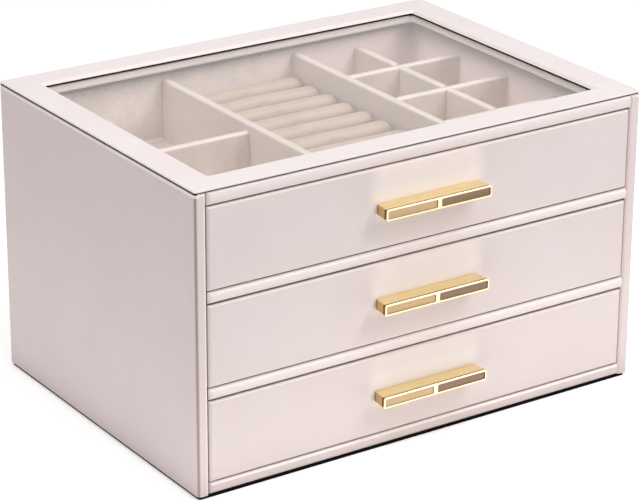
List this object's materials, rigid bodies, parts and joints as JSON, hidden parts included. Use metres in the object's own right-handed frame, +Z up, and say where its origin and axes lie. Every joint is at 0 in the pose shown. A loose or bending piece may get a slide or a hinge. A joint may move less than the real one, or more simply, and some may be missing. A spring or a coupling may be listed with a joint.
{
  "type": "jewellery box with drawers",
  "caption": "Leather-covered jewellery box with a fixed glass top over a divided tray and stacked drawers that slide out by gold bar handles.",
  "frame": {"origin": "middle of the underside of the base felt, below the middle of the case", "axes": "+X to the right seen from the front, +Y to the back, +Z up; the drawers slide along -Y"},
  "size_m": [0.28, 0.2126, 0.1673],
  "materials": {
    "blush_leather": "pale blush leather cloth over board, satin",
    "greige_velvet": "short-pile greige velvet",
    "drawer_board": "board covered in blush paper",
    "brushed_gold": "brushed, polished rim",
    "champagne_inlay": "satin champagne",
    "mocha_inlay": "satin mocha",
    "clear_glass": "clear polished",
    "black_tape": "matte black",
    "black_felt": "black felt",
    "beech_dowel": "plain beech",
    "zinc_screw": "zinc plated"
  },
  "bodies": {
    "case": {"left_side_panel": "blush_leather", "right_side_panel": "blush_leather", "back_panel": "blush_leather", "base_board": "blush_leather", "lower_shelf": "blush_leather", "upper_shelf": "blush_leather", "top_board": "blush_leather", "cover_frame": "blush_leather", "cover_bond": "black_tape", "glass_tape": "black_tape", "window_glass": "clear_glass", "base_felt": "black_felt", "panel_dowels": "beech_dowel"},
    "bottom_drawer": {"bottom_drawer_front": "blush_leather", "bottom_drawer_left_side": "drawer_board", "bottom_drawer_right_side": "drawer_board", "bottom_drawer_back": "drawer_board", "bottom_drawer_inner_front": "drawer_board", "bottom_drawer_bottom": "drawer_board", "bottom_drawer_lining": "greige_velvet", "bottom_handle_bar": "brushed_gold", "bottom_handle_light_inlay": "champagne_inlay", "bottom_handle_dark_inlay": "mocha_inlay", "bottom_handle_screws": "zinc_screw"},
    "middle_drawer": {"middle_drawer_front": "blush_leather", "middle_drawer_left_side": "drawer_board", "middle_drawer_right_side": "drawer_board", "middle_drawer_back": "drawer_board", "middle_drawer_inner_front": "drawer_board", "middle_drawer_bottom": "drawer_board", "middle_drawer_lining": "greige_velvet", "middle_handle_bar": "brushed_gold", "middle_handle_light_inlay": "champagne_inlay", "middle_handle_dark_inlay": "mocha_inlay", "middle_handle_screws": "zinc_screw", "middle_drawer_left_divider": "greige_velvet", "middle_drawer_right_divider": "greige_velvet"},
    "top_drawer": {"top_drawer_front": "blush_leather", "top_drawer_left_side": "drawer_board", "top_drawer_right_side": "drawer_board", "top_drawer_back": "drawer_board", "top_drawer_inner_front": "drawer_board", "top_drawer_bottom": "drawer_board", "top_drawer_lining": "greige_velvet", "top_handle_bar": "brushed_gold", "top_handle_light_inlay": "champagne_inlay", "top_handle_dark_inlay": "mocha_inlay", "top_handle_screws": "zinc_screw", "top_drawer_left_divider": "greige_velvet", "top_drawer_right_divider": "greige_velvet", "top_drawer_left_cross_divider": "greige_velvet", "top_drawer_long_divider": "greige_velvet", "top_drawer_cross_divider_1": "greige_velvet", "top_drawer_cross_divider_2": "greige_velvet", "top_drawer_cross_divider_3": "greige_velvet", "ring_rolls": "greige_velvet"}
  },
  "joints": [
    {"name": "bottom_drawer_slide", "type": "slide", "parent": "case", "child": "bottom_drawer", "axis": [0, -1, 0], "range_m": [0, 0.14]},
    {"name": "middle_drawer_slide", "type": "slide", "parent": "case", "child": "middle_drawer", "axis": [0, -1, 0], "range_m": [0, 0.14]},
    {"name": "top_drawer_slide", "type": "slide", "parent": "case", "child": "top_drawer", "axis": [0, -1, 0], "range_m": [0, 0.14]}
  ]
}
